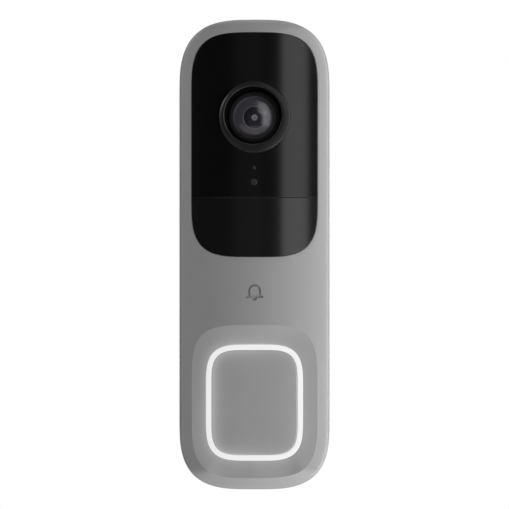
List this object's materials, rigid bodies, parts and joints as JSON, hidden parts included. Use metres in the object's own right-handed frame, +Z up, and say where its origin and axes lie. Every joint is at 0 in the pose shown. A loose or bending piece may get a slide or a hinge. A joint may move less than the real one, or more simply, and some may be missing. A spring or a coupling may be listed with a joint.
{
  "type": "video doorbell",
  "caption": "Tall rounded video doorbell with a convex front, a black camera window, a motion sensor cover and a lit call button, hooked on a wall bracket.",
  "frame": {"origin": "midway between the two wall screw holes, on the bracket's back face, in the plane of the wall", "axes": "+Z up along the body, +Y into the wall, so the front with the lens and the button faces -Y; +X is to the right seen from the front"},
  "size_m": [0.0454, 0.0281, 0.142],
  "materials": {
    "housing_grey": "fine matte grain",
    "back_grey": "moulded, matte",
    "window_black": "polished black",
    "sensor_black": "satin black",
    "bezel_black": "fine matte",
    "lens_coated_glass": "coated",
    "filter_glass": "clear",
    "ring_diffuser": "milky, lit from behind",
    "light_pipe": "smoked clear",
    "button_grey": "fine matte grain",
    "seal_rubber": "matte",
    "silicone_clear": "translucent",
    "board_green": "solder mask over copper tracks",
    "chip_black": "moulded epoxy",
    "shield_steel": "stamped",
    "screw_steel": "machined",
    "spring_steel": "bright wire",
    "brass_plated": "plated",
    "gold_contact": "plated",
    "heat_aluminium": "satin",
    "thermal_silicone": "soft, matte",
    "capacitor_sleeve": "shrink sleeve",
    "ferrite": "fine grain",
    "connector_tan": "moulded",
    "terminal_green": "moulded",
    "frame_black": "moulded",
    "emitter_epoxy": "dark clear epoxy",
    "led_white": "phosphor",
    "flex_amber": "polyimide film",
    "speaker_black": "moulded",
    "cone_grey": "pressed film",
    "mesh_steel": "fine woven mesh",
    "plunger_white": "moulded",
    "stem_red": "moulded",
    "sensor_silicon": "coated",
    "bracket_grey": "glass-filled, matte"
  },
  "bodies": {
    "bracket": {"bracket": "bracket_grey"},
    "housing": {"rear_housing": "back_grey", "front_housing": "housing_grey", "housing_gasket": "seal_rubber", "wall_seal": "seal_rubber", "camera_window": "window_black", "pir_lens": "sensor_black", "window_seal": "seal_rubber", "lens_bezel": "bezel_black", "lens_barrel": "frame_black", "lens_front_glass": "lens_coated_glass", "lens_rear_glass": "lens_coated_glass", "lens_retainer": "bezel_black", "lens_holder": "frame_black", "image_sensor": "sensor_silicon", "sensor_board": "board_green", "board_connector": "connector_tan", "main_board": "board_green", "processor": "chip_black", "processor_shield": "shield_steel", "memory_chips": "chip_black", "wifi_module": "shield_steel", "antenna": "gold_contact", "supercapacitors": "capacitor_sleeve", "power_inductor": "ferrite", "terminal_block": "terminal_green", "terminal_screws": "screw_steel", "terminal_clamps": "brass_plated", "tamper_spring": "spring_steel", "tamper_switch": "chip_black", "reset_switch": "chip_black", "heat_spreader": "heat_aluminium", "thermal_pad": "thermal_silicone", "camera_frame": "frame_black", "ir_board": "board_green", "ir_emitters": "emitter_epoxy", "light_pipes": "light_pipe", "pir_sensor": "shield_steel", "pir_holder": "frame_black", "button_dome": "silicone_clear", "light_ring": "ring_diffuser", "button_board": "board_green", "ring_leds": "led_white", "switch_body": "chip_black", "button_flex": "flex_amber", "speaker_frame": "speaker_black", "speaker_magnet": "shield_steel", "speaker_box": "speaker_black", "speaker_mesh": "mesh_steel", "microphone": "gold_contact", "housing_screws": "screw_steel", "board_screws": "screw_steel"},
    "button": {"button_cap": "button_grey", "switch_stem": "stem_red"},
    "tamper": {"tamper_plunger": "plunger_white"},
    "reset": {"reset_plunger": "frame_black"},
    "ir_filter": {"ir_cut_filter": "filter_glass"},
    "screw_ring": {"screw_oring": "seal_rubber"},
    "screw": {"security_screw": "screw_steel"},
    "speaker": {"speaker_cone": "cone_grey"}
  },
  "joints": [
    {"name": "body_lift", "type": "slide", "parent": "bracket", "child": "housing", "axis": [0, 0, 1], "range_m": [0, 0.006]},
    {"name": "button_press", "type": "slide", "parent": "housing", "child": "button", "axis": [0, 1, 0], "range_m": [0, 0.0005], "stiffness_N_per_m": 2000, "springref_m": -0.0003, "deforming": ["button_dome"]},
    {"name": "tamper_press", "type": "slide", "parent": "housing", "child": "tamper", "axis": [0, -1, 0], "range_m": [0, 0.0012], "stiffness_N_per_m": 300, "springref_m": -0.001, "deforming": ["tamper_spring"]},
    {"name": "reset_press", "type": "slide", "parent": "housing", "child": "reset", "axis": [0, -1, 0], "range_m": [0, 0.0003], "stiffness_N_per_m": 3000, "springref_m": -0.0002},
    {"name": "filter_shift", "type": "slide", "parent": "housing", "child": "ir_filter", "axis": [-1, 0, 0], "range_m": [0, 0.0068]},
    {"name": "screw_out", "type": "slide", "parent": "housing", "child": "screw_ring", "axis": [0, 0, -1], "range_m": [0, 0.006]},
    {"name": "screw_turn", "type": "hinge", "parent": "screw_ring", "child": "screw", "pos_m": [0, -0.0038, -0.0691], "axis": [0, 0, -1], "range_deg": [0, 4330]},
    {"name": "cone_stroke", "type": "slide", "parent": "housing", "child": "speaker", "axis": [0, 0, 1], "range_m": [-0.0003, 0.0003], "stiffness_N_per_m": 400}
  ],
  "couplings": [
    {"joint": "screw_turn", "follows": "screw_out", "rad_per_m": 12566}
  ]
}
